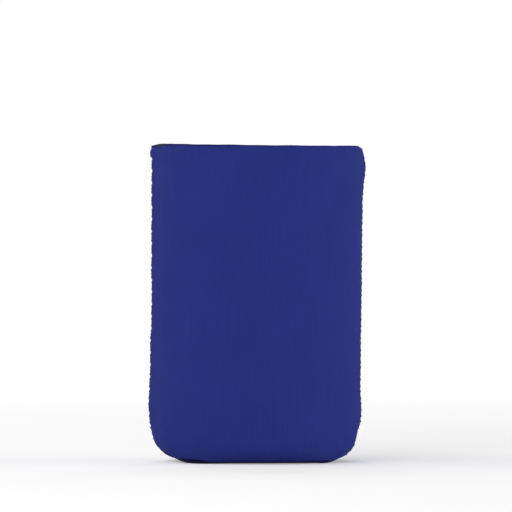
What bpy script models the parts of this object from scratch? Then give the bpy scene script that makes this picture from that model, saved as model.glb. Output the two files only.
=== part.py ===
"""Can cooler sleeve: one die-cut foam panel, folded under the base and sewn up both sides.

Metres, +Z up. The origin is the middle of the underside, the front faces -Y and the seams run up
the -X and +X sides. Places on the panel are given by three numbers. `across` runs over its width,
from -1 at the left cut edge to 1 at the right one. `down` runs along its length: 0 at the front rim,
1 where the wall starts to bend, 2 where the base starts, 3 at the fold in the middle of the base and
6 at the back rim. `depth` goes in from the outer face.
"""

import bmesh
import bpy
import math
import numpy as np

# Driving dimensions of the sleeve, in its round form in use
BORE_RADIUS = 0.0330
FOAM_THICKNESS = 0.0035
HEIGHT = 0.1120
EDGE_ROUND = 0.0004

# How the base bends up into the wall
BASE_ROUND = 0.0120
BASE_PLAN_CORNER = 0.0085
SEAM_CURVE_WIDTH = 0.0130
SEAM_CURVE_HEIGHT = 0.0110
SEAM_LIFT = 0.0016
SEAM_LIFT_FROM = 0.60
SEAM_RUN_OUT = 0.0010

# The sewn ridge, where the two halves leave the round wall on straight lines that meet at the seam
SLIT = 0.0003
RIDGE_HEIGHT = 0.0014
LIP_WIDTH = 0.0009
LIP_DROP = 0.45
FOOT_SHARE = 0.45
FOOT_FADE_FROM = 0.97
FOOT_FADE_LENGTH = 0.15
INNER_GROOVE = 0.0008
SCALLOP_DEPTH = 0.0005
SCALLOP_WIDTH = 0.0032

# The thread
STITCH_PITCH = 0.0043
STITCH_REACH = 0.0024
THREAD_RADIUS = 0.0003
CLEARANCE = 0.0004

# Mesh density
WALL_ROWS = 8
BEND_ROWS = 6
BASE_ROWS = 4
COLUMNS = 20
ROWS_PER_STITCH = 4
THREAD_POINTS_PER_STITCH = 6
SHARP_ANGLE = math.radians(40)

OUTER_RADIUS = BORE_RADIUS + FOAM_THICKNESS
BASE_HALF_DEPTH = OUTER_RADIUS - BASE_ROUND
BASE_HALF_WIDTH = OUTER_RADIUS - SEAM_CURVE_WIDTH
FLARE_ANGLE = math.acos(OUTER_RADIUS / (OUTER_RADIUS + RIDGE_HEIGHT))
FLARE_WIDTH = OUTER_RADIUS * FLARE_ANGLE
FOLD = 3.0
BACK_RIM = 6.0


def clear_scene():
    for obj in list(bpy.data.objects):
        bpy.data.objects.remove(obj, do_unlink=True)


def smooth(share):
    share = min(max(share, 0.0), 1.0)
    return share * share * (3.0 - 2.0 * share)


def wall_outline(across, depth):
    """The round wall in plan: x, and the distance forward of the seams."""
    angle = across * math.pi / 2
    radius = OUTER_RADIUS - depth
    return radius * math.sin(angle), radius * math.cos(angle)


def base_outline(across, shrink):
    """The flat of the base in plan, a rounded rectangle that shrinks to the straight fold."""
    corner = BASE_PLAN_CORNER * (1.0 - shrink)
    half_width = BASE_HALF_WIDTH - SEAM_RUN_OUT * shrink
    half_depth = BASE_HALF_DEPTH * (1.0 - shrink)
    front_run = half_width - corner
    corner_run = corner * math.pi / 2
    side_run = half_depth - corner
    along = abs(across) * (front_run + corner_run + side_run)
    if along <= front_run:
        x, forward = along, half_depth
    elif along <= front_run + corner_run:
        turn = (along - front_run) / corner
        x = front_run + corner * math.sin(turn)
        forward = side_run + corner * math.cos(turn)
    else:
        x, forward = half_width, front_run + corner_run + side_run - along
    return math.copysign(x, across), forward


def panel_point(across, down, depth):
    """A point of the folded panel, in metres."""
    half = min(down, BACK_RIM - down)
    near_seam = smooth((abs(across) - SEAM_LIFT_FROM) / (1.0 - SEAM_LIFT_FROM))
    floor = SEAM_LIFT * near_seam
    bend_top = BASE_ROUND + (SEAM_LIFT + SEAM_CURVE_HEIGHT - BASE_ROUND) * near_seam
    wall_x, wall_forward = wall_outline(across, depth)
    if half <= 1.0:
        x, forward = wall_x, wall_forward
        z = HEIGHT + (bend_top - HEIGHT) * half
    elif half <= 2.0:
        turn = (half - 1.0) * math.pi / 2
        base_x, base_forward = base_outline(across, 0.0)
        x = base_x + (wall_x - base_x) * math.cos(turn)
        forward = base_forward + (wall_forward - base_forward) * math.cos(turn)
        z = floor + depth + (bend_top - floor - depth) * (1.0 - math.sin(turn))
    else:
        x, forward = base_outline(across, half - 2.0)
        z = floor + depth
    if half < FOLD:
        forward += SLIT / 2
    return x, -forward if down <= FOLD else forward, z


# The length of a seam from the rim to the fold, for stitches of equal length
SEAM_STEPS = np.linspace(0.0, FOLD, 601)
SEAM_POINTS = np.array([panel_point(1.0, step, 0.0) for step in SEAM_STEPS[:-1]])
SEAM_LENGTHS = np.append(0.0, np.cumsum(np.linalg.norm(np.diff(SEAM_POINTS, axis=0), axis=1)))
SEAM_LENGTHS = np.append(SEAM_LENGTHS, 2 * SEAM_LENGTHS[-1] - SEAM_LENGTHS[-2])
SEAM_LENGTH = float(SEAM_LENGTHS[-1])
STITCHES = round(SEAM_LENGTH / STITCH_PITCH)
STITCH = SEAM_LENGTH / STITCHES


def down_at(length):
    return float(np.interp(length, SEAM_LENGTHS, SEAM_STEPS))


def stitch_pull(down):
    """1 where the thread pulls this lip of the seam in, 0 between: the two lips take turns."""
    half = min(down, BACK_RIM - down)
    phase = 0.0 if down <= FOLD else 0.5
    turns = np.interp(half, SEAM_STEPS, SEAM_LENGTHS) / STITCH - phase
    return (0.5 + 0.5 * math.cos(2 * math.pi * turns)) ** 2


def seam_distance(across):
    return OUTER_RADIUS * math.pi / 2 * (1.0 - abs(across))


def across_at(distance):
    return 1.0 - distance / (OUTER_RADIUS * math.pi / 2)


def flare(distance):
    """How far the panel has left the round wall, from 0 on the plain wall to 1 at the seam."""
    angle = max(FLARE_ANGLE - distance / OUTER_RADIUS, 0.0)
    return (1.0 / math.cos(angle) - 1.0) * OUTER_RADIUS / RIDGE_HEIGHT


def ridge_form(distance):
    """The section of one half of the ridge: the flare, whose lip rolls in to the seam."""
    return flare(distance) - LIP_DROP * max(1.0 - distance / LIP_WIDTH, 0.0) ** 2


def outer_depth(across, down):
    half = min(down, BACK_RIM - down)
    distance = seam_distance(across)
    share = 1.0 - (1.0 - FOOT_SHARE) * smooth((half - FOOT_FADE_FROM) / FOOT_FADE_LENGTH)
    scallop = SCALLOP_DEPTH * stitch_pull(down) * (1.0 - smooth(distance / SCALLOP_WIDTH))
    return -share * (RIDGE_HEIGHT * ridge_form(distance) - scallop)


def inner_depth(across, down):
    return FOAM_THICKNESS - INNER_GROOVE * flare(seam_distance(across))


def there_and_back(front_rows):
    """The rows of the front half, then those of the back half, from rim to rim."""
    return front_rows + [BACK_RIM - row for row in reversed(front_rows[:-1])]


def fine_rows():
    count = STITCHES * ROWS_PER_STITCH
    lengths = [EDGE_ROUND] + [SEAM_LENGTH * step / count for step in range(1, count)]
    return there_and_back([down_at(length) for length in lengths] + [FOLD])


def plain_rows():
    rows = [down_at(EDGE_ROUND)]
    rows += [step / WALL_ROWS for step in range(1, WALL_ROWS + 1)]
    rows += [1.0 + step / BEND_ROWS for step in range(1, BEND_ROWS + 1)]
    rows += [2.0 + step / BASE_ROWS for step in range(1, BASE_ROWS + 1)]
    return there_and_back(rows)


def add_chain(mesh, places, depth_of, inset=0.0):
    """Vertices at the given (across, down) places, as a list."""
    points = [panel_point(across, down, depth_of(across, down) + inset) for across, down in places]
    return [mesh.verts.new(point) for point in points]


def join_chains(mesh, first, second):
    """Faces between two chains of (parameter, vertex), which may differ in their number of points."""
    i = j = 0
    while i < len(first) - 1 or j < len(second) - 1:
        next_first = first[i + 1][0] if i < len(first) - 1 else math.inf
        next_second = second[j + 1][0] if j < len(second) - 1 else math.inf
        corners = [first[i][1], second[j][1]]
        if next_second <= next_first:
            j += 1
            corners.append(second[j][1])
        if next_first <= next_second:
            i += 1
            corners.append(first[i][1])
        mesh.faces.new(corners)


def add_face_of_panel(mesh, depth_of, fine_distances, plain_distances):
    """One face of the panel, as {across: [(down, vertex)]}: fine beside the seams, plain between."""
    plain_end = across_at(FLARE_WIDTH)
    middle = [plain_end * (2 * step / COLUMNS - 1) for step in range(COLUMNS + 1)]
    fine = [across_at(distance) for distance in fine_distances]
    plain = [across_at(distance) for distance in plain_distances]
    rows_at = {across: plain_rows() for across in middle}
    rows_at.update({side * across: plain_rows() for across in plain for side in (-1, 1)})
    rows_at.update({side * across: fine_rows() for across in fine for side in (-1, 1)})
    columns = {}
    for across in sorted(rows_at):
        rows = rows_at[across]
        columns[across] = list(zip(rows, add_chain(mesh, [(across, row) for row in rows], depth_of)))
    ordered = list(columns.values())
    for first, second in zip(ordered, ordered[1:]):
        join_chains(mesh, first, second)
    return columns


def add_rim(mesh, outer, inner, end, down):
    """The cut edge of the panel at one rim, with its two corners rounded."""
    outer_edge = [(across, column[end][1]) for across, column in outer.items()]
    inner_edge = [(across, column[end][1]) for across, column in inner.items()]
    outer_places = [(across, down) for across in outer]
    inner_places = [(across, down) for across in inner]
    outer_top = list(zip(outer, add_chain(mesh, outer_places, outer_depth, EDGE_ROUND)))
    inner_top = list(zip(inner, add_chain(mesh, inner_places, inner_depth, -EDGE_ROUND)))
    chains = [outer_edge, outer_top, inner_top, inner_edge]
    for first, second in zip(chains, chains[1:]):
        join_chains(mesh, first, second)
    for side in (0, -1):
        mesh.faces.new([chain[side][1] for chain in chains])


def material(name, colour, roughness):
    made = bpy.data.materials.new(name)
    made.use_nodes = True
    shader = made.node_tree.nodes["Principled BSDF"]
    shader.inputs["Base Color"].default_value = (*colour, 1.0)
    shader.inputs["Roughness"].default_value = roughness
    shader.inputs["Metallic"].default_value = 0.0
    return made


def add_object(name, data, made_of, parent):
    data.materials.append(made_of)
    obj = bpy.data.objects.new(name, data)
    obj.parent = parent
    bpy.context.scene.collection.objects.link(obj)
    return obj


def foam_panel(parent):
    mesh = bmesh.new()
    half_flare = (SCALLOP_WIDTH + FLARE_WIDTH) / 2
    outer = add_face_of_panel(mesh, outer_depth, (0.0, LIP_WIDTH, SCALLOP_WIDTH), (half_flare,))
    inner = add_face_of_panel(mesh, inner_depth, (0.0,), (SCALLOP_WIDTH, half_flare))
    for across in (-1.0, 1.0):
        join_chains(mesh, outer[across], inner[across])
    add_rim(mesh, outer, inner, 0, 0.0)
    add_rim(mesh, outer, inner, -1, BACK_RIM)
    bmesh.ops.recalc_face_normals(mesh, faces=mesh.faces)
    data = bpy.data.meshes.new("folded_foam_panel")
    mesh.to_mesh(data)
    mesh.free()
    data.shade_smooth()
    data.set_sharp_from_angle(angle=SHARP_ANGLE)
    return add_object("folded_foam_panel", data, material("blue_foam", (0.024, 0.033, 0.202), 0.9), parent)


def thread_point(side, length):
    """The middle of the thread where it lies over the two lips of the seam."""
    sideways = STITCH_REACH * math.cos(2 * math.pi * length / STITCH)
    across = across_at(max(abs(sideways) - SLIT / 2, 0.0))
    half = down_at(length)
    down = half if sideways > 0 else BACK_RIM - half
    x, y, z = panel_point(across, down, outer_depth(across, down) - CLEARANCE - THREAD_RADIUS)
    return side * x, y, z


def seam_thread(name, side, parent):
    count = STITCHES * THREAD_POINTS_PER_STITCH
    step = STITCH / THREAD_POINTS_PER_STITCH
    points = [thread_point(side, step * index) for index in range(2, count - 1)]
    curve = bpy.data.curves.new(name, "CURVE")
    curve.dimensions = "3D"
    curve.bevel_depth = THREAD_RADIUS
    curve.bevel_resolution = 1
    curve.use_fill_caps = True
    spline = curve.splines.new("POLY")
    spline.points.add(len(points) - 1)
    for place, point in zip(spline.points, points):
        place.co = (*point, 1.0)
    return add_object(name, curve, material("blue_thread", (0.030, 0.042, 0.240), 0.7), parent)


def build():
    clear_scene()
    sleeve = bpy.data.objects.new("can_cooler_sleeve", None)
    bpy.context.scene.collection.objects.link(sleeve)
    foam_panel(sleeve)
    seam_thread("left_seam_thread", -1, sleeve)
    seam_thread("right_seam_thread", 1, sleeve)


build()
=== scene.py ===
"""The looks of the can cooler sleeve: knit-faced foam, its cut edges and the zigzag thread of its seams."""

import bmesh
import bpy
import math
import numpy as np
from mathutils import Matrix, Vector


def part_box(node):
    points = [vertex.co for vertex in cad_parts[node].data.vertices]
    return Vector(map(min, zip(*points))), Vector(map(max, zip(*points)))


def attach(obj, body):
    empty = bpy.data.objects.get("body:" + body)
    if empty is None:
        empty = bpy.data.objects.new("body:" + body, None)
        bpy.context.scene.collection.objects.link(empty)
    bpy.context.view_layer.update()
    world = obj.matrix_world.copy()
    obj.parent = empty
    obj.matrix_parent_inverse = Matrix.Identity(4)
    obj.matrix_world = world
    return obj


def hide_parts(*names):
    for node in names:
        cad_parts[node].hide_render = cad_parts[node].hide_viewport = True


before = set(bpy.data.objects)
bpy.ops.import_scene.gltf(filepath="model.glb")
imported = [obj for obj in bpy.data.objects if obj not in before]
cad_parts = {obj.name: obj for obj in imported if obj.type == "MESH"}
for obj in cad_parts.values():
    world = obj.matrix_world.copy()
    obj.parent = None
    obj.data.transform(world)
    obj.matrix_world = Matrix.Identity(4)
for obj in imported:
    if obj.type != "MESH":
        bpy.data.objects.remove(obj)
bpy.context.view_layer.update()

# Sizes of the sleeve, in metres, as the part has them. The height and the radius come from the frame
SLIT = 0.0003
FOAM_THICKNESS = 0.0035
BASE_ROUND = 0.0120
BASE_PLAN_CORNER = 0.0085
SEAM_CURVE_WIDTH = 0.0130
SEAM_LIFT_FROM = 0.60
SEAM_RUN_OUT = 0.0010
RIDGE_HEIGHT = 0.0014
LIP_WIDTH = 0.0009
FOOT_SHARE = 0.45
FOOT_FADE_FROM = 0.97
FOOT_FADE_LENGTH = 0.15
INNER_GROOVE = 0.0008
STITCH_PITCH = 0.0043
STITCH_REACH = 0.0024

panel_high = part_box("folded_foam_panel")[1]
HEIGHT = panel_high[2]
OUTER_RADIUS = panel_high[1] - SLIT / 2
BASE_HALF_DEPTH = OUTER_RADIUS - BASE_ROUND
BASE_HALF_WIDTH = OUTER_RADIUS - SEAM_CURVE_WIDTH
QUARTER = OUTER_RADIUS * math.pi / 2
FLARE_ANGLE = math.acos(OUTER_RADIUS / (OUTER_RADIUS + RIDGE_HEIGHT))
FOLD = 3.0
BACK_RIM = 6.0

# How the panel stands and bends in the finished look. The lift of the front edge is a stretch, as for the
# seams below, but in shares of the way across
SEAM_CURVE_HEIGHT = 0.0112
SEAM_LIFT = 0.0010
LEAN = 0.0105
BEND_POWER = 0.80
LEFT_BEND_POWER = 0.95
RIGHT_BEND_POWER = 0.86
BACK_RISE_LEFT = 0.00085
BACK_RISE_RIGHT = -0.00035
RIM_RISE_WIDTH = 0.0110
LEFT_CORNER_DROP = 0.00040
RIGHT_CORNER_DROP = 0.00110
RIM_CORNER_WIDTH = 0.0145
RIM_CORNER_POWER = 1.3
RIM_UNEVEN = 0.00008
RIM_WAVES = (9.0, 23.0)
FRONT_LIFT = 0.00022
FRONT_LIFT_WHERE = (-0.6, 0.5, 0.52, 0.03)

# What the seams and their stitches do to the foam, and the cut edges. The rim's profile is in shares of
# the skin inwards and of the edge's rounding downwards
LIP_DROP = 0.55
SCALLOP_DEPTH = 0.00034
SCALLOP_WIDTH = 0.0036
SCALLOP_DRIFT = 0.3
SCALLOP_DRIFT_PACE = 2.3
HOLE_DEPTH = 0.00028
HOLE_WIDTH = 0.0005
GROOVE_DEPTH = 0.00018
GROOVE_WIDTH = 0.00032
GROOVE_SLANT = 0.42
BULGE_WIDTH = 0.0120
PUCKER_DEPTH = 0.00012
PUCKER_REACH = 0.0085
EDGE_ROUND = 0.0005
SKIN = 0.00045
RIM_PROFILE = ((0.20, 0.35), (0.55, 0.05), (1.0, 0.0))
RIM_HOLLOW = 0.00014
RIM_HOLLOW_FROM = 2.4

# Mesh density: the distances are from the seam, in metres
ROWS_PER_STITCH = 12
PLAIN_EVERY = 3
PLAIN_SPACING = 0.0014
INNER_SPACING = 0.0028
OUTER_DISTANCES = [step * 0.0003 for step in range(12)] + [0.0039, 0.0045, 0.0052, 0.0060, 0.0070, 0.0082]
INNER_DISTANCES = [0.0, 0.0006, 0.0014, 0.0026, 0.0042]
THREAD_STEPS = 64
THREAD_SIDES = 8
SHARP_ANGLE = math.radians(55)

# The threads
THREAD_RADIUS = 0.00028
THREAD_START = 0.0012
THREAD_STOP = 0.0006
THREAD_STANDS = 0.10
PLUNGE = 0.0006
PLUNGE_WIDTH = 0.00035
PLY_PITCH = 0.0016
PLY_RELIEF = 0.14
STITCH_TURN = 0.985

# The seams' irregularity, in shares of a ridge's height and metres from the rim. A wave is (length, share),
# a hump is (how much, where, how wide), and a stretch is (where it starts, over what length it rises,
# where it ends, over what length it falls)
DRIFT_WAVES = ((0.0079, 0.35), (0.0128, 0.40), (0.0310, 0.45))
DRIFT_STEP = 1.7
RIDGE_DRIFT = 0.10
LEFT_RIM_SWELL = 0.62
LEFT_RIM_TO = 0.0055
LEFT_RIM_FADE = 0.0030
LEFT_BACK_SHARE = 0.80
LEFT_EAR = (0.1062, 0.0045, 0.1225, 0.0040)
LEFT_EAR_BACK = 0.70
LEFT_EAR_FRONT = -1.10
LEFT_DENT = (0.30, 0.0992, 0.0025)
LEFT_BULGE = (0.0007, 0.0895, 0.0060)
RIGHT_RIM_DROP = 0.60
RIGHT_RIM_TO = 0.0050
RIGHT_SWELL = (0.42, 0.0062, 0.0034)
RIGHT_MIDDLE_DROP = 0.55
RIGHT_MIDDLE = (0.0085, 0.0110, 0.0925, 0.0070)
RIGHT_DENT = (2.05, 0.1019, 0.0032)
RIGHT_EAR = (0.55, 0.1105, 0.0030)
RIGHT_FOOT_DROP = 0.20
RIGHT_FOOT_APART = 0.18
RIGHT_FOOT_FROM = 0.0920
RIGHT_FOOT_FADE = 0.0060
TIGHT_FROM = 0.0985
TIGHT_FADE = 0.0045
TIGHT_EVENS = 0.8
TIGHT_SINKS = 0.8

# How much more or less each ridge stands out along its seam: (metres from the rim, share)
LEFT_UNEVEN = ((0.0, 0.15), (0.003, 0.0), (0.0065, 0.25), (0.015, 0.28), (0.028, 0.15), (0.036, 0.03),
               (0.046, 0.0), (0.053, -0.16), (0.062, -0.14), (0.068, 0.04), (0.072, 0.13), (0.081, 0.12),
               (0.086, -0.06), (0.092, -0.14), (0.100, 0.0), (0.1035, 0.38), (0.1065, 0.34), (0.112, 0.12),
               (0.116, 0.0))
RIGHT_UNEVEN = ((0.0, 0.0), (0.052, 0.0), (0.062, -0.08), (0.082, -0.10), (0.088, -0.18), (0.093, -0.14),
                (0.098, 0.0))

# What the meshes hand to the materials
PLACE = "panel_place"
EDGES = "panel_edges"
KNIT_SLOT = 0
CORE_SLOT = 1

# How much darker the knit is, and where, in millimetres on the flat panel. Near the seams and on the turn
# next to the floor this is painted shade; near the rim the knit is just darker. Each ear's painted shade runs
# from its first range of places across the panel to its second
SEAM_SHADE = 0.58
SEAM_SHADE_FROM = 0.20
SEAM_SHADE_TO = 1.40
RIM_SHADE = 0.45
RIM_SHADE_TO = 0.6
FOOT_SHADE = 0.90
FOOT_SHADE_FROM = 112.1
FOOT_SHADE_OVER = 1.6
FOOT_SHADE_ENDS = (9.0, 4.0)
EAR_SHADE_EARLIER = 2.7
LEFT_EAR_SHADE = ((-18.0, -26.0), (-44.0, -35.0))
RIGHT_EAR_SHADE = ((17.0, 23.0), (44.0, 35.0))
RIGHT_EAR_SHARE = 0.35

# The knit: its loops in millimetres, noise scales per millimetre, and how much each pattern lightens it.
# The loops' share is painted shade in the valleys between the loops; the noises are tone that differs at
# random
WALE_MM = 0.80
COURSE_MM = 0.62
LOOP_SLANT = 1.5
CROWN_POWER = 0.6
STRAND_SHARE = 0.45
SWAY = 1.2
SWAY_SCALE = 0.12
FUZZ_SCALE = 6.0
CLOUD_SCALE = 0.045
STREAK_STRETCH = (1.3, 0.04, 1.0)
KNIT_LIGHTNESS = 0.22
LOOP_VALLEY_SHADE = 0.42
FUZZ_LIGHT = 0.35
CLOUD_LIGHT = 0.55
STREAK_LIGHT = 0.45
KNIT_ROUGHNESS = 0.84
FOAM_SCALE = 0.35

# The cut foam and the thread
CELL_SCALE = 4.5
COARSE_SCALE = 1.8
FILAMENTS_ROUND = 0.007
FILAMENTS_ALONG = 5.0
FILAMENTS_FINER = 4.0

# Bumps: strength, and height in metres
LOOP_BUMP = (0.55, 0.00012)
FOAM_BUMP = (0.25, 0.0005)
CELL_BUMP = (0.8, 0.00025)
COARSE_BUMP = (0.6, 0.0003)
FILAMENT_BUMP = (0.5, 0.00006)

# Colours, linear
KNIT_DEEP = (0.0168, 0.0243, 0.161)
KNIT_LIGHT = (0.0270, 0.0380, 0.245)
# Painted shade along the seams, and a darker tone near the rim
KNIT_SEAM_SHADE_AND_DARK_RIM = (0.0060, 0.0085, 0.0420)
# Painted shade on the turn next to the floor, darkest at the ears
KNIT_FOOT_SHADE = (0.0012, 0.0023, 0.0125)
CORE_DARK = (0.0025, 0.0034, 0.0110)
CORE_LIGHT = (0.0055, 0.0075, 0.0260)
THREAD_DEEP = (0.0200, 0.0280, 0.170)
THREAD_BLUE = (0.0360, 0.0500, 0.300)
SHEEN_BLUE = (0.22, 0.27, 1.0, 1.0)
WHITE = (1.0, 1.0, 1.0, 1.0)

# The studio: a softbox is (name, degrees round from the front to the right, degrees up, size, power)
FLOOR_SIZE = 12.0
FLOOR_LIT = 1.0
FLOOR_GLOW = 0.30
FLOOR_BOUNCE = 0.80
FLOOR_FADE_FROM = 0.42
FLOOR_FADE_TO = 0.80
FILL = 0.15
SOFTBOX_DISTANCE = 2.0
SOFTBOXES = (
    ("front_low", -16, 8, (1.3, 0.45), 13.4),
    ("front_left", -28, 18, (1.3, 0.9), 9.9),
    ("left_high", -65, 50, (1.3, 0.9), 6.4),
    ("left_back", -115, 25, (1.3, 0.9), 7.4),
    ("right_low", 75, 4, (1.3, 0.45), 11.8),
    ("right_back", 95, 4, (1.3, 0.45), 14.3),
    ("back_high", 180, 45, (1.3, 0.9), 8.4),
)

# The camera, with places in the photograph's 512-pixel frame
PHOTO_PX = 512
SENSOR_MM = 36.0
PIXELS_PER_METRE = 2819.0
CAMERA_DISTANCE = 3.0
CENTRE_X_PX = 257.0
RIM_Y_PX = 145.6
AZIMUTH = 2.8
CAMERA_REACH = 100.0


def smooth(share):
    share = np.clip(share, 0.0, 1.0)
    return share * share * (3.0 - 2.0 * share)


def mix(first, second, share):
    return first + (second - first) * share


def stretch(value, start, rise, end, fall):
    """1 along a stretch and 0 beyond it, with soft ends."""
    return smooth((value - start) / rise) * smooth((end - value) / fall)


def hump(value, much, middle, width):
    return much * np.exp(-((value - middle) / width) ** 2)


def seam_distance(across):
    return QUARTER * (1.0 - np.abs(across))


def across_at(distance):
    return 1.0 - distance / QUARTER


def base_outline(across, shrink):
    """The flat of the base in plan: x, and the distance forward of the seams."""
    corner = np.maximum(BASE_PLAN_CORNER * (1.0 - shrink), 1e-9)
    half_width = BASE_HALF_WIDTH - SEAM_RUN_OUT * shrink
    half_depth = BASE_HALF_DEPTH * (1.0 - shrink)
    front_run = half_width - corner
    corner_run = corner * math.pi / 2
    side_run = np.maximum(half_depth - corner, 0.0)
    along = np.abs(across) * (front_run + corner_run + side_run)
    turn = np.clip((along - front_run) / corner, 0.0, math.pi / 2)
    on_side = np.maximum(along - front_run - corner_run, 0.0)
    x = np.minimum(along, front_run) + corner * np.sin(turn)
    forward = side_run + corner * np.cos(turn) - on_side
    forward = np.where(shrink >= 1.0, 0.0, np.maximum(forward, 0.0))
    return np.copysign(x, across), forward


def front_lift(across, half):
    """How far the front edge of the base stands off the floor, as far as the right ear."""
    return FRONT_LIFT * stretch(across, *FRONT_LIFT_WHERE) * (1.0 - smooth(half - 2.0))


def panel_point(across, down, depth):
    """Points of the folded panel. across runs from one cut edge, -1, to the other, 1. down is 0 at
    the front rim, 1 where the wall starts to bend, 2 at the base, 3 at the fold and 6 at the back rim."""
    across, down, depth = np.broadcast_arrays(across, down, depth)
    half = np.minimum(down, BACK_RIM - down)
    near_seam = smooth((np.abs(across) - SEAM_LIFT_FROM) / (1.0 - SEAM_LIFT_FROM))
    floor = SEAM_LIFT * near_seam + np.where(down <= FOLD, front_lift(across, half), 0.0)
    bend_top = BASE_ROUND + (SEAM_LIFT + SEAM_CURVE_HEIGHT - BASE_ROUND) * near_seam
    angle = across * math.pi / 2
    radius = OUTER_RADIUS - depth
    turn = np.clip(half - 1.0, 0.0, 1.0) * math.pi / 2
    power = mix(BEND_POWER, np.where(across > 0, RIGHT_BEND_POWER, LEFT_BEND_POWER), near_seam)
    out = np.maximum(np.cos(turn), 0.0) ** power
    up = 1.0 - np.sin(turn) ** power
    base_x, base_forward = base_outline(across, np.clip(half - 2.0, 0.0, 1.0))
    x = base_x + (radius * np.sin(angle) - base_x) * out
    forward = base_forward + (radius * np.cos(angle) - base_forward) * out
    low = floor + depth + (bend_top - floor - depth) * up
    z = np.where(half <= 1.0, mix(rim_height(across, down), bend_top, half), low)
    x = x + LEAN * (z - HEIGHT / 2)
    return np.stack([x, np.where(down <= FOLD, -forward, forward), z], axis=-1)


def rim_height(across, down):
    """The rims aren't quite level: the back one rises at the left, and the corners are pulled down."""
    distance = seam_distance(across)
    left = 0.5 - 0.5 * across
    rise = mix(BACK_RISE_RIGHT, BACK_RISE_LEFT, left) * smooth(distance / RIM_RISE_WIDTH)
    corner = np.where(across > 0, RIGHT_CORNER_DROP, np.where(down > FOLD, 0.0, LEFT_CORNER_DROP))
    corner = corner * np.clip(1.0 - distance / RIM_CORNER_WIDTH, 0.0, 1.0) ** RIM_CORNER_POWER
    uneven = RIM_UNEVEN * np.sin(across * RIM_WAVES[0] + down) * np.sin(across * RIM_WAVES[1] + 2.0)
    return HEIGHT - corner + uneven + np.where(down > FOLD, rise, 0.0)


# The length of a seam from the rim to the fold
SEAM_STEPS = np.linspace(0.0, FOLD, 1201)
SEAM_LINE = panel_point(1.0, np.minimum(SEAM_STEPS, FOLD - 1e-6), 0.0)
SEAM_LENGTHS = np.append(0.0, np.cumsum(np.linalg.norm(np.diff(SEAM_LINE, axis=0), axis=1)))
SEAM_LENGTH = float(SEAM_LENGTHS[-1])
STITCHES = round(SEAM_LENGTH / STITCH_PITCH)
STITCH = SEAM_LENGTH / STITCHES


def down_at(length):
    return np.interp(length, SEAM_LENGTHS, SEAM_STEPS)


def length_at(half):
    return np.interp(half, SEAM_STEPS, SEAM_LENGTHS)


def drift(length, seed):
    """A slow irregularity of a hand-guided seam, from about -1 to 1."""
    return sum(share * np.sin(2 * math.pi * length / wave + DRIFT_STEP * seed + index)
               for index, (wave, share) in enumerate(DRIFT_WAVES))


def ridge_share(side, length, down):
    """How much of its height the ridge of each seam keeps along its length."""
    uneven = np.where(side > 0, np.interp(length, *zip(*RIGHT_UNEVEN)), np.interp(length, *zip(*LEFT_UNEVEN)))
    share = 1.0 + RIDGE_DRIFT * drift(length, side) + uneven
    back = down > FOLD
    rim = smooth((LEFT_RIM_TO - length) / LEFT_RIM_FADE)
    left = share * (1.0 + LEFT_RIM_SWELL * rim) * np.where(back, LEFT_BACK_SHARE, 1.0)
    ear = stretch(length, *LEFT_EAR) * np.where(back, LEFT_EAR_BACK, LEFT_EAR_FRONT)
    left = left * (1.0 + ear) - hump(length, *LEFT_DENT)
    rim = smooth(1.0 - length / RIGHT_RIM_TO)
    middle = stretch(length, *RIGHT_MIDDLE)
    foot = smooth((length - RIGHT_FOOT_FROM) / RIGHT_FOOT_FADE)
    lower = RIGHT_RIM_DROP * rim + RIGHT_MIDDLE_DROP * middle + RIGHT_FOOT_DROP * foot
    lower = lower + hump(length, *RIGHT_DENT)
    higher = hump(length, *RIGHT_SWELL) + hump(length, *RIGHT_EAR)
    right = share * (1.0 - lower + higher) + foot * np.where(back, RIGHT_FOOT_APART, -RIGHT_FOOT_APART)
    return np.where(side > 0, right, left)


def bulge(side, length):
    """Where the foam stands out over the foot of the left seam."""
    return np.where(side < 0, hump(length, *LEFT_BULGE), 0.0)


def tight(side, length):
    """Where the left thread is drawn tight round the base's corner and makes no bumps: 0 to 1."""
    return np.where(side < 0, smooth((length - TIGHT_FROM) / TIGHT_FADE), 0.0)


def flare(distance):
    """How far the panel has left the round wall, on a straight line out to the seam: 0 to 1."""
    angle = np.maximum(FLARE_ANGLE - distance / OUTER_RADIUS, 0.0)
    return (1.0 / np.cos(angle) - 1.0) * OUTER_RADIUS / RIDGE_HEIGHT


def ridge_form(distance):
    """The section of one lip of the seam, from 0 on the plain wall to 1 near its edge, which rolls in."""
    return flare(distance) - LIP_DROP * np.clip(1.0 - distance / LIP_WIDTH, 0.0, 1.0) ** 2


def stitch_wave(turns):
    """The zigzag of the thread, from 1 over one lip to -1 over the other, with slightly soft turns."""
    return np.arcsin(STITCH_TURN * np.cos(2 * math.pi * turns)) / math.asin(STITCH_TURN)


def lip_depth(across, down):
    """How far the outer face lies inside the plain wall, before the thread bites: negative on a ridge."""
    side = np.sign(across)
    half = np.minimum(down, BACK_RIM - down)
    distance = seam_distance(across)
    length = length_at(half)
    turns = length / STITCH - np.where(down <= FOLD, 0.0, 0.5)
    foot = smooth((half - FOOT_FADE_FROM) / FOOT_FADE_LENGTH)
    share = (1.0 - (1.0 - FOOT_SHARE) * foot) * ridge_share(side, length, down)
    pull = 0.5 + 0.5 * (1.0 - TIGHT_EVENS * tight(side, length)) * np.cos(2 * math.pi * turns)
    scallop = SCALLOP_DEPTH * (1.0 + SCALLOP_DRIFT * drift(length * SCALLOP_DRIFT_PACE, 3 * side)) * pull
    scallop = scallop * (1.0 - smooth(distance / SCALLOP_WIDTH))
    pucker = PUCKER_DEPTH * (pull - 0.5) * np.exp(-distance / PUCKER_REACH)
    swell = bulge(side, length) * (1.0 - smooth(distance / BULGE_WIDTH))
    return -share * (RIDGE_HEIGHT * ridge_form(distance) - scallop) + pucker - swell


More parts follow.
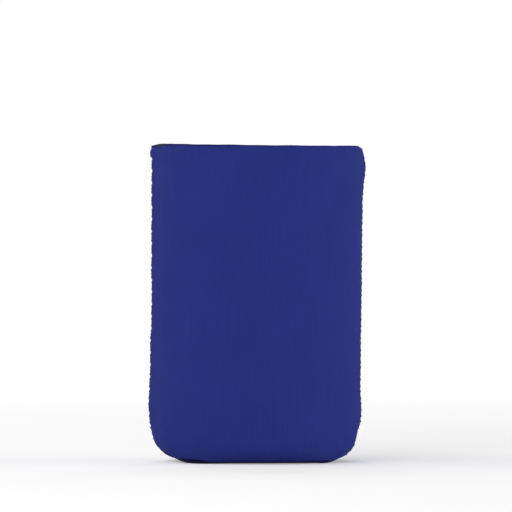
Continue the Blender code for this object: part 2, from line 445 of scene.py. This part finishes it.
def outer_depth(across, down):
    """The outer face, with the needle holes and the groove that the thread presses into it."""
    half = np.minimum(down, BACK_RIM - down)
    distance = seam_distance(across)
    turns = length_at(half) / STITCH - np.where(down <= FOLD, 0.0, 0.5)
    off_hole = (turns - np.round(turns)) * STITCH
    hole = np.exp(-(off_hole ** 2 + (distance - STITCH_REACH) ** 2) / HOLE_WIDTH ** 2)
    off_thread = (distance - STITCH_REACH * np.abs(stitch_wave(turns))) * GROOVE_SLANT
    groove = np.exp(-(off_thread / GROOVE_WIDTH) ** 2) * (np.cos(2 * math.pi * turns) > 0)
    groove = groove * smooth((STITCH_REACH + HOLE_WIDTH - distance) / HOLE_WIDTH)
    return lip_depth(across, down) + HOLE_DEPTH * hole + GROOVE_DEPTH * groove


def inner_depth(across, down):
    distance = seam_distance(across)
    half = np.minimum(down, BACK_RIM - down)
    groove = INNER_GROOVE * flare(distance)
    swell = bulge(np.sign(across), length_at(half)) * (1.0 - smooth(distance / BULGE_WIDTH))
    return FOAM_THICKNESS - groove - swell


class Shell:
    """Points and faces of one mesh, gathered chain by chain. A chain is (parameters, point numbers)."""

    def __init__(self):
        self.points = []
        self.places = []
        self.edges = []
        self.faces = []
        self.slots = []
        self.count = 0

    def add(self, parameters, across, down, depth):
        points = panel_point(across, down, depth)
        across, down, depth = np.broadcast_arrays(across, down, depth)
        half = np.minimum(down, BACK_RIM - down)
        base_depth = base_outline(across, np.zeros(across.shape))[1]
        from_rim = length_at(np.minimum(half, 2.0)) + base_depth * np.clip(half - 2.0, 0.0, 1.0)
        to_fold = length_at(2.0) + base_depth
        along = np.where(down <= FOLD, from_rim, 2 * to_fold - from_rim)
        self.points.append(points)
        self.places.append(np.stack([across * QUARTER, along, depth], axis=-1))
        self.edges.append(np.stack([seam_distance(across), from_rim, np.sign(across)], axis=-1))
        numbers = np.arange(self.count, self.count + len(points))
        self.count += len(points)
        return np.asarray(parameters), numbers

    def join(self, first, second, slot):
        """Faces between two chains, which may differ in their number of points."""
        first_at, first_ids = first
        second_at, second_ids = second
        start = len(self.faces)
        if len(first_at) == len(second_at):
            quads = [first_ids[:-1], second_ids[:-1], second_ids[1:], first_ids[1:]]
            self.faces.extend(np.stack(quads, axis=-1).tolist())
        else:
            i = j = 0
            while i < len(first_at) - 1 or j < len(second_at) - 1:
                next_first = first_at[i + 1] if i < len(first_at) - 1 else math.inf
                next_second = second_at[j + 1] if j < len(second_at) - 1 else math.inf
                face = [first_ids[i], second_ids[j]]
                if next_second <= next_first:
                    j += 1
                    face.append(second_ids[j])
                if next_first <= next_second:
                    i += 1
                    face.append(first_ids[i])
                self.faces.append(face)
        self.slots.extend([slot] * (len(self.faces) - start))

    def object(self, name, materials):
        return new_object(name, np.concatenate(self.points), self.faces, materials, self.slots,
                          {PLACE: np.concatenate(self.places), EDGES: np.concatenate(self.edges)})


def new_object(name, points, faces, materials, slots=None, places=None):
    mesh = bpy.data.meshes.new(name)
    mesh.from_pydata(points.tolist(), [], faces)
    for material in materials:
        mesh.materials.append(material)
    if slots is not None:
        mesh.polygons.foreach_set("material_index", np.array(slots, dtype=np.int32))
    for attribute, values in (places or {}).items():
        mesh.attributes.new(attribute, "FLOAT_VECTOR", "POINT")
        mesh.attributes[attribute].data.foreach_set("vector", (values * 1000).astype(np.float32).ravel())
    shape = bmesh.new()
    shape.from_mesh(mesh)
    bmesh.ops.recalc_face_normals(shape, faces=shape.faces)
    shape.to_mesh(mesh)
    shape.free()
    mesh.shade_smooth()
    mesh.set_sharp_from_angle(angle=SHARP_ANGLE)
    obj = bpy.data.objects.new(name, mesh)
    bpy.context.scene.collection.objects.link(obj)
    return obj


def rows_of(per_stitch):
    """down values from rim to rim, beginning where the rounding of the rim ends."""
    lengths = SEAM_LENGTH * np.arange(STITCHES * per_stitch + 1) / (STITCHES * per_stitch)
    lengths[0] = EDGE_ROUND
    front = down_at(lengths)
    front[-1] = FOLD
    return np.concatenate([front, BACK_RIM - front[-2::-1]])


def face_of_panel(shell, depth_of, fine_distances, spacing):
    """One face of the panel, as its columns {across: chain} from one cut edge to the other."""
    fine = [across_at(distance) for distance in fine_distances]
    edge = across_at(fine_distances[-1] + spacing)
    count = max(2, round(2 * edge * QUARTER / spacing))
    rows_at = {edge * (2 * step / count - 1): ROWS_PER_STITCH // PLAIN_EVERY for step in range(count + 1)}
    rows_at.update({side * across: ROWS_PER_STITCH for across in fine for side in (-1, 1)})
    columns = {}
    for across in sorted(rows_at):
        rows = rows_of(rows_at[across])
        columns[across] = shell.add(rows, across, rows, depth_of(across, rows))
    ordered = list(columns.values())
    for first, second in zip(ordered, ordered[1:]):
        shell.join(first, second, KNIT_SLOT)
    return columns


def close_seam_edge(shell, side, outer, inner):
    """The cut edge down one seam, from skin through dark foam to skin."""
    rows = rows_of(ROWS_PER_STITCH)
    outer_at = outer_depth(side, rows)
    inner_at = inner_depth(side, rows)
    cuts = [outer_at + SKIN, mix(outer_at, inner_at, 0.5), inner_at - SKIN]
    chains = [outer] + [shell.add(rows, side, rows, cut) for cut in cuts] + [inner]
    for (first, second), slot in zip(zip(chains, chains[1:]), (KNIT_SLOT, CORE_SLOT, CORE_SLOT, KNIT_SLOT)):
        shell.join(first, second, slot)
    return chains


def close_rim(shell, outer, inner, seam_edges, end):
    """The cut edge at one rim: both skins turn over it and the foam between is a little hollow."""
    def layer(columns, depth_of, inset, drop):
        across = np.array(list(columns))
        down = np.full(len(across), down_at(drop))
        down = down if end == 0 else BACK_RIM - down
        return shell.add(across, across, down, depth_of(across, down) + inset)

    def edge(columns):
        return np.array(list(columns)), np.array([chain[1][end] for chain in columns.values()])

    profile = [(inset * SKIN, drop * EDGE_ROUND) for inset, drop in RIM_PROFILE]
    profile.append((RIM_HOLLOW_FROM * SKIN, RIM_HOLLOW))
    chains = [edge(outer)]
    chains += [layer(outer, outer_depth, inset, drop) for inset, drop in profile]
    chains += [layer(inner, inner_depth, -inset, drop) for inset, drop in reversed(profile)]
    chains.append(edge(inner))
    skin = [KNIT_SLOT] * len(RIM_PROFILE)
    slots = skin + [CORE_SLOT] * 3 + skin
    for (first, second), slot in zip(zip(chains, chains[1:]), slots):
        shell.join(first, second, slot)
    for corner, seam in zip((0, -1), seam_edges):
        around = [ids[corner] for _, ids in chains]
        around += [ids[end] for _, ids in reversed(seam[1:-1])]
        shell.faces.append([int(number) for number in around])
        shell.slots.append(CORE_SLOT)


def foam_panel(knit, core):
    shell = Shell()
    outer = face_of_panel(shell, outer_depth, OUTER_DISTANCES, PLAIN_SPACING)
    inner = face_of_panel(shell, inner_depth, INNER_DISTANCES, INNER_SPACING)
    seam_edges = [close_seam_edge(shell, side, outer[side], inner[side]) for side in (-1.0, 1.0)]
    for end in (0, -1):
        close_rim(shell, outer, inner, seam_edges, end)
    panel = shell.object("sleeve_panel", [knit, core])
    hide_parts("folded_foam_panel")
    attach(panel, "root")
    return panel


def thread_line(side, start, end, depth_of):
    """The middle of a zigzag thread and the way out of the foam, along one seam."""
    lengths = np.linspace(start, end, round((end - start) / STITCH * THREAD_STEPS))
    sideways = STITCH_REACH * stitch_wave(lengths / STITCH)
    half = down_at(lengths)
    down = np.where(sideways > 0, half, BACK_RIM - half)
    distance = np.abs(sideways)
    depth, outward = depth_of(side, distance, down)
    place = side * across_at(distance)
    middle = panel_point(place, down, depth)
    above = panel_point(place, down, depth - outward * THREAD_RADIUS)
    return middle, above - middle


def needle_depth(side, distance, down):
    """The depth of the outside thread's middle, and which way along the depth is out of the foam."""
    over = side * across_at(np.maximum(distance, LIP_WIDTH))
    plunge = hump(distance, PLUNGE, STITCH_REACH, PLUNGE_WIDTH)
    sunk = TIGHT_SINKS * THREAD_RADIUS * tight(side, length_at(np.minimum(down, BACK_RIM - down)))
    return lip_depth(over, down) - THREAD_STANDS * THREAD_RADIUS + sunk + plunge, 1.0


def bobbin_depth(side, distance, down):
    """The same for the inside thread."""
    over = side * across_at(np.maximum(distance, LIP_WIDTH))
    plunge = hump(distance, PLUNGE, STITCH_REACH, PLUNGE_WIDTH)
    return inner_depth(over, down) + THREAD_STANDS * THREAD_RADIUS - plunge, -1.0


def thread(name, side, depth_of, material, node=None):
    """A two-ply thread, as a tube whose section turns along it."""
    middle, out = thread_line(side, THREAD_START, SEAM_LENGTH - THREAD_STOP, depth_of)
    tangent = np.gradient(middle, axis=0)
    tangent /= np.linalg.norm(tangent, axis=1, keepdims=True)
    normal = out - tangent * np.sum(out * tangent, axis=1, keepdims=True)
    normal /= np.linalg.norm(normal, axis=1, keepdims=True)
    across = np.cross(tangent, normal)
    along = np.append(0.0, np.cumsum(np.linalg.norm(np.diff(middle, axis=0), axis=1)))
    angles = 2 * math.pi * np.arange(THREAD_SIDES) / THREAD_SIDES
    twist = 2 * math.pi * along[:, None] / PLY_PITCH
    radius = THREAD_RADIUS * (1.0 + PLY_RELIEF * np.cos(2 * (angles[None, :] - twist)))
    rings = (middle[:, None, :]
             + radius[..., None] * (np.cos(angles)[None, :, None] * normal[:, None, :]
                                    + np.sin(angles)[None, :, None] * across[:, None, :]))
    count = len(middle)
    numbers = np.arange(count * THREAD_SIDES).reshape(count, THREAD_SIDES)
    turned = np.roll(numbers, -1, axis=1)
    quads = np.stack([numbers[:-1], turned[:-1], turned[1:], numbers[1:]], axis=-1).reshape(-1, 4)
    faces = quads.tolist() + [numbers[0].tolist(), numbers[-1].tolist()]
    places = np.stack([np.broadcast_to(angles / (2 * math.pi), radius.shape),
                       np.broadcast_to(along[:, None], radius.shape), radius], axis=-1)
    obj = new_object(name, rings.reshape(-1, 3), faces, [material], places={PLACE: places.reshape(-1, 3)})
    if node:
        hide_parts(node)
    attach(obj, "root")
    return obj


class Nodes:
    """Short calls for a material's nodes."""

    def __init__(self, name):
        self.material = bpy.data.materials.new(name)
        self.material.use_nodes = True
        self.tree = self.material.node_tree
        self.shader = self.tree.nodes["Principled BSDF"]

    def add(self, kind, inputs=(), **settings):
        node = self.tree.nodes.new(kind)
        for key, value in settings.items():
            setattr(node, key, value)
        for key, value in dict(inputs).items():
            self.feed(node.inputs[key], value)
        return node

    def feed(self, socket, value):
        if isinstance(value, bpy.types.NodeSocket):
            self.tree.links.new(value, socket)
        else:
            socket.default_value = value

    def math(self, operation, first, second=0.0, third=0.0):
        node = self.add("ShaderNodeMath", operation=operation)
        for socket, value in zip(node.inputs, (first, second, third)):
            self.feed(socket, value)
        return node.outputs[0]

    def noise(self, vector, scale, detail=3.0, roughness=0.55):
        inputs = {"Vector": vector, "Scale": scale, "Detail": detail, "Roughness": roughness}
        return self.add("ShaderNodeTexNoise", inputs).outputs[0]

    def mix(self, share, first, second):
        node = self.add("ShaderNodeMix", data_type="RGBA")
        self.feed(node.inputs["Factor"], share)
        self.feed(node.inputs["A"], (*first, 1.0) if isinstance(first, tuple) else first)
        self.feed(node.inputs["B"], (*second, 1.0) if isinstance(second, tuple) else second)
        return node.outputs["Result"]

    def ramp(self, value, start, end, low=0.0, high=1.0):
        """A soft step, from low at the start to high at the end."""
        inputs = {"Value": value, "From Min": start, "From Max": end, "To Min": low, "To Max": high}
        return self.add("ShaderNodeMapRange", inputs, interpolation_type="SMOOTHSTEP").outputs[0]

    def place(self, name=PLACE):
        """PLACE is where a point lies on the flat panel, in millimetres: across, along and through."""
        node = self.add("ShaderNodeAttribute", attribute_type="GEOMETRY", attribute_name=name)
        return node.outputs["Vector"]

    def parts(self, vector):
        return self.add("ShaderNodeSeparateXYZ", {"Vector": vector}).outputs

    def stretched(self, vector, factors):
        return self.add("ShaderNodeVectorMath", {0: vector, 1: factors}, operation="MULTIPLY").outputs[0]

    def cells(self, vector, scale):
        node = self.add("ShaderNodeTexVoronoi", {"Vector": vector, "Scale": scale}, feature="F1")
        return node.outputs["Distance"]

    def bump(self, height, strength, distance, normal=None):
        node = self.add("ShaderNodeBump", {"Height": height, "Strength": strength, "Distance": distance})
        if normal is not None:
            self.feed(node.inputs["Normal"], normal)
        return node.outputs["Normal"]

    def surface(self, inputs):
        for key, value in inputs.items():
            self.feed(self.shader.inputs[key], value)
        return self.material


def knit_shade(nodes, across):
    """Where the knit is dark, as two masks: painted shade near the seams, with a darker tone near the rim;
    and foot, painted shade on the turn next to the floor, reaching higher at the ears.
    """
    edges = nodes.parts(nodes.place(EDGES))
    from_seam, from_rim = edges["X"], edges["Y"]
    # painted shade near the seams, and a darker knit near the rim
    seam_shade_and_dark_rim = nodes.math("MAXIMUM", nodes.ramp(from_seam, SEAM_SHADE_FROM, SEAM_SHADE_TO, SEAM_SHADE, 0.0),
                      nodes.ramp(from_rim, 0.0, RIM_SHADE_TO, RIM_SHADE, 0.0))
    (left_from, left_to), (right_from, right_to) = LEFT_EAR_SHADE, RIGHT_EAR_SHADE
    left = nodes.math("MULTIPLY", nodes.ramp(across, *left_from), nodes.ramp(across, *left_to))
    right = nodes.math("MULTIPLY", nodes.ramp(across, *right_from, 0.0, RIGHT_EAR_SHARE),
                       nodes.ramp(across, *right_to))
    ear = nodes.math("MAXIMUM", left, right)
    # painted shade on the foot: the turn next to the floor, reaching higher at the ears
    past_turn = nodes.math("MULTIPLY_ADD", ear, EAR_SHADE_EARLIER,
                           nodes.math("SUBTRACT", from_rim, FOOT_SHADE_FROM))
    near_floor = nodes.ramp(past_turn, 0.0, FOOT_SHADE_OVER)
    near_edge = nodes.ramp(from_rim, *(FOOT_SHADE_FROM + end for end in FOOT_SHADE_ENDS))
    foot = nodes.math("MULTIPLY", nodes.math("MULTIPLY", near_floor, near_edge),
                      nodes.math("MULTIPLY_ADD", ear, 1.0 - FOOT_SHADE, FOOT_SHADE))
    return seam_shade_and_dark_rim, foot


def knit_material():
    """Fine jersey laminated on the foam: columns of small V-shaped loops."""
    nodes = Nodes("royal_knit")
    place = nodes.place()
    split = nodes.parts(place)
    across, along = split["X"], split["Y"]
    sway = nodes.math("SUBTRACT", nodes.noise(place, SWAY_SCALE, 2.0), 0.5)
    wale = nodes.math("MULTIPLY_ADD", sway, SWAY, nodes.math("DIVIDE", across, WALE_MM))
    in_wale = nodes.math("SUBTRACT", nodes.math("FRACT", wale), 0.5)
    from_middle = nodes.math("ABSOLUTE", in_wale)
    course = nodes.math("MULTIPLY_ADD", from_middle, LOOP_SLANT, nodes.math("DIVIDE", along, COURSE_MM))
    strand = nodes.math("COSINE", nodes.math("MULTIPLY", course, 2 * math.pi))
    strand = nodes.math("MULTIPLY_ADD", strand, 0.5, 0.5)
    strand = nodes.math("MULTIPLY_ADD", strand, STRAND_SHARE, 1.0 - STRAND_SHARE)
    crown = nodes.math("COSINE", nodes.math("MULTIPLY", in_wale, math.pi))
    crown = nodes.math("POWER", nodes.math("MAXIMUM", crown, 0.001), CROWN_POWER)
    loops = nodes.math("MULTIPLY", crown, strand)
    fuzz = nodes.noise(place, FUZZ_SCALE, 4.0, 0.7)
    clouds = nodes.noise(place, CLOUD_SCALE, 3.0, 0.6)
    streaks = nodes.noise(nodes.stretched(place, STREAK_STRETCH), 1.0, 2.0, 0.5)
    # painted shade in the valleys between the loops, then random tone from the noises
    light = nodes.math("MULTIPLY_ADD", loops, LOOP_VALLEY_SHADE, KNIT_LIGHTNESS)
    for pattern, share in ((fuzz, FUZZ_LIGHT), (clouds, CLOUD_LIGHT), (streaks, STREAK_LIGHT)):
        light = nodes.math("MULTIPLY_ADD", nodes.math("SUBTRACT", pattern, 0.5), share, light)
    light = nodes.add("ShaderNodeClamp", {"Value": light}).outputs[0]
    seam_shade_and_dark_rim, foot = knit_shade(nodes, across)
    # the knit with painted shade near the seams and a darker tone near the rim
    knit = nodes.mix(seam_shade_and_dark_rim, nodes.mix(light, KNIT_DEEP, KNIT_LIGHT), KNIT_SEAM_SHADE_AND_DARK_RIM)
    relief = nodes.bump(nodes.math("MULTIPLY_ADD", fuzz, 0.25, loops), *LOOP_BUMP)
    return nodes.surface({
        # the base colour carries painted shade on the foot
        "Base Color": nodes.mix(foot, knit, KNIT_FOOT_SHADE),
        "Roughness": nodes.math("MULTIPLY_ADD", fuzz, 0.12, KNIT_ROUGHNESS),
        "Normal": nodes.bump(nodes.noise(place, FOAM_SCALE, 3.0, 0.5), *FOAM_BUMP, relief),
        "Specular IOR Level": 0.05,
        "Sheen Weight": 0.06,
        "Sheen Roughness": 0.5,
        "Sheen Tint": SHEEN_BLUE,
    })


def core_material():
    """The cut foam rubber: dark, with fine open cells."""
    nodes = Nodes("foam_core")
    place = nodes.place()
    cells = nodes.cells(place, CELL_SCALE)
    coarse = nodes.cells(place, COARSE_SCALE)
    share = nodes.math("MULTIPLY_ADD", coarse, 0.5, nodes.math("MULTIPLY", cells, 0.6))
    return nodes.surface({
        "Base Color": nodes.mix(share, CORE_DARK, CORE_LIGHT),
        "Roughness": nodes.math("MULTIPLY_ADD", cells, 0.2, 0.75),
        "Normal": nodes.bump(coarse, *COARSE_BUMP, nodes.bump(cells, *CELL_BUMP)),
        "Specular IOR Level": 0.08,
    })


def thread_material():
    """Polyester sewing thread: a soft sheen, with the filaments running round each ply."""
    nodes = Nodes("sewing_thread")
    place = nodes.place()
    split = nodes.parts(place)
    around, along = split["X"], split["Y"]
    filament = nodes.math("MULTIPLY_ADD", around, 2 * math.pi * FILAMENTS_ROUND,
                          nodes.math("MULTIPLY", along, FILAMENTS_ALONG))
    lines = nodes.math("SINE", nodes.math("MULTIPLY", filament, FILAMENTS_FINER))
    lines = nodes.math("MULTIPLY_ADD", lines, 0.5, 0.5)
    patches = nodes.noise(nodes.stretched(place, (0.02, 1.0, 0.0)), 0.8, 3.0)
    share = nodes.math("MULTIPLY_ADD", lines, 0.45, nodes.math("MULTIPLY", patches, 0.55))
    return nodes.surface({
        "Base Color": nodes.mix(share, THREAD_DEEP, THREAD_BLUE),
        "Roughness": nodes.math("MULTIPLY_ADD", patches, 0.2, 0.42),
        "Normal": nodes.bump(lines, *FILAMENT_BUMP),
        "Specular IOR Level": 0.15,
        "Sheen Weight": 0.03,
        "Sheen Roughness": 0.4,
    })


def backdrop_rays(tree):
    """1 on the rays that see the white backdrop: the camera's, and those that gloss and glass send on."""
    path = tree.nodes.new("ShaderNodeLightPath")
    seen = path.outputs["Is Camera Ray"]
    for ray in ("Is Glossy Ray", "Is Transmission Ray"):
        either = tree.nodes.new("ShaderNodeMath")
        either.operation = "MAXIMUM"
        tree.links.new(seen, either.inputs[0])
        tree.links.new(path.outputs[ray], either.inputs[1])
        seen = either.outputs[0]
    return seen


def floor_material():
    """Pale floor. To the rays that see the backdrop part of its white is a glow, so that it meets
    the white there, and its lit part keeps the sleeve's shadow."""
    nodes = Nodes("studio_floor")
    tree = nodes.tree
    tree.nodes.remove(nodes.shader)
    plain = nodes.add("ShaderNodeBsdfDiffuse", {"Color": (FLOOR_BOUNCE, FLOOR_BOUNCE, FLOOR_BOUNCE, 1.0)})
    lit = nodes.add("ShaderNodeBsdfDiffuse", {"Color": (FLOOR_LIT, FLOOR_LIT, FLOOR_LIT, 1.0)})
    glow = nodes.add("ShaderNodeEmission", {"Color": WHITE, "Strength": FLOOR_GLOW})
    seen = nodes.add("ShaderNodeAddShader", {0: lit.outputs[0], 1: glow.outputs[0]})
    white = nodes.add("ShaderNodeEmission", {"Color": WHITE, "Strength": 1.0})
    where = nodes.add("ShaderNodeNewGeometry").outputs["Position"]
    reach = nodes.add("ShaderNodeVectorMath", {0: where}, operation="LENGTH").outputs["Value"]
    fade = nodes.add("ShaderNodeMapRange", {"Value": reach, "From Min": FLOOR_FADE_FROM,
                                            "From Max": FLOOR_FADE_TO}, clamp=True)
    near = nodes.add("ShaderNodeMixShader", {0: fade.outputs[0], 1: seen.outputs[0], 2: white.outputs[0]})
    last = nodes.add("ShaderNodeMixShader", {0: backdrop_rays(tree), 1: plain.outputs[0], 2: near.outputs[0]})
    tree.links.new(last.outputs[0], tree.nodes["Material Output"].inputs["Surface"])
    return nodes.material


def studio_floor():
    size = FLOOR_SIZE / 2
    points = np.array([(-size, -size, 0.0), (size, -size, 0.0), (size, size, 0.0), (-size, size, 0.0)])
    floor = new_object("studio_floor", points, [[0, 1, 2, 3]], [floor_material()])


def studio_world():
    """A soft grey fill on the object; the camera, gloss and glass see a white backdrop."""
    world = bpy.data.worlds.new("studio")
    world.use_nodes = True
    tree = world.node_tree
    fill = tree.nodes["Background"]
    fill.inputs["Color"].default_value = WHITE
    fill.inputs["Strength"].default_value = FILL
    white = tree.nodes.new("ShaderNodeBackground")
    white.inputs["Color"].default_value = WHITE
    white.inputs["Strength"].default_value = 1.0
    blend = tree.nodes.new("ShaderNodeMixShader")
    tree.links.new(backdrop_rays(tree), blend.inputs[0])
    tree.links.new(fill.outputs[0], blend.inputs[1])
    tree.links.new(white.outputs[0], blend.inputs[2])
    tree.links.new(blend.outputs[0], tree.nodes["World Output"].inputs["Surface"])
    bpy.context.scene.world = world


def softbox(name, round_by, up, size, power):
    turn, rise = math.radians(round_by), math.radians(up)
    level = math.cos(rise)
    toward = Vector((level * math.sin(turn), -level * math.cos(turn), math.sin(rise)))
    light = bpy.data.lights.new(name, "AREA")
    light.shape = "RECTANGLE"
    light.size, light.size_y = size
    light.energy = power
    obj = bpy.data.objects.new(name, light)
    obj.location = toward * SOFTBOX_DISTANCE + Vector((0.0, 0.0, HEIGHT / 2))
    obj.rotation_euler = (-toward).to_track_quat("-Z", "Y").to_euler()
    bpy.context.scene.collection.objects.link(obj)


def camera():
    """Far off and level with the rim, a few degrees round towards the left seam."""
    data = bpy.data.cameras.new("camera")
    data.sensor_width = SENSOR_MM
    focal_px = PIXELS_PER_METRE * CAMERA_DISTANCE
    data.lens = focal_px / PHOTO_PX * SENSOR_MM
    data.clip_end = CAMERA_REACH
    obj = bpy.data.objects.new("camera", data)
    round_by = math.radians(AZIMUTH)
    side = Vector((math.cos(round_by), -math.sin(round_by), 0.0))
    back = Vector((-math.sin(round_by), -math.cos(round_by), 0.0))
    shift = (PHOTO_PX / 2 - CENTRE_X_PX) / PIXELS_PER_METRE
    obj.location = back * CAMERA_DISTANCE + side * shift + Vector((0.0, 0.0, HEIGHT))
    down = math.atan((PHOTO_PX / 2 - RIM_Y_PX) / focal_px)
    obj.rotation_euler = (math.pi / 2 - down, 0.0, -round_by)
    bpy.context.scene.collection.objects.link(obj)
    bpy.context.scene.camera = obj


def build():
    camera()
    knit, core, sewing = knit_material(), core_material(), thread_material()
    foam_panel(knit, core)
    for word, side in (("left", -1), ("right", 1)):
        thread(f"{word}_needle_thread", side, needle_depth, sewing, f"{word}_seam_thread")
        thread(f"{word}_bobbin_thread", side, bobbin_depth, sewing)
    studio_floor()
    studio_world()
    for light in SOFTBOXES:
        softbox(*light)
    bpy.context.scene.view_settings.view_transform = "Standard"


build()
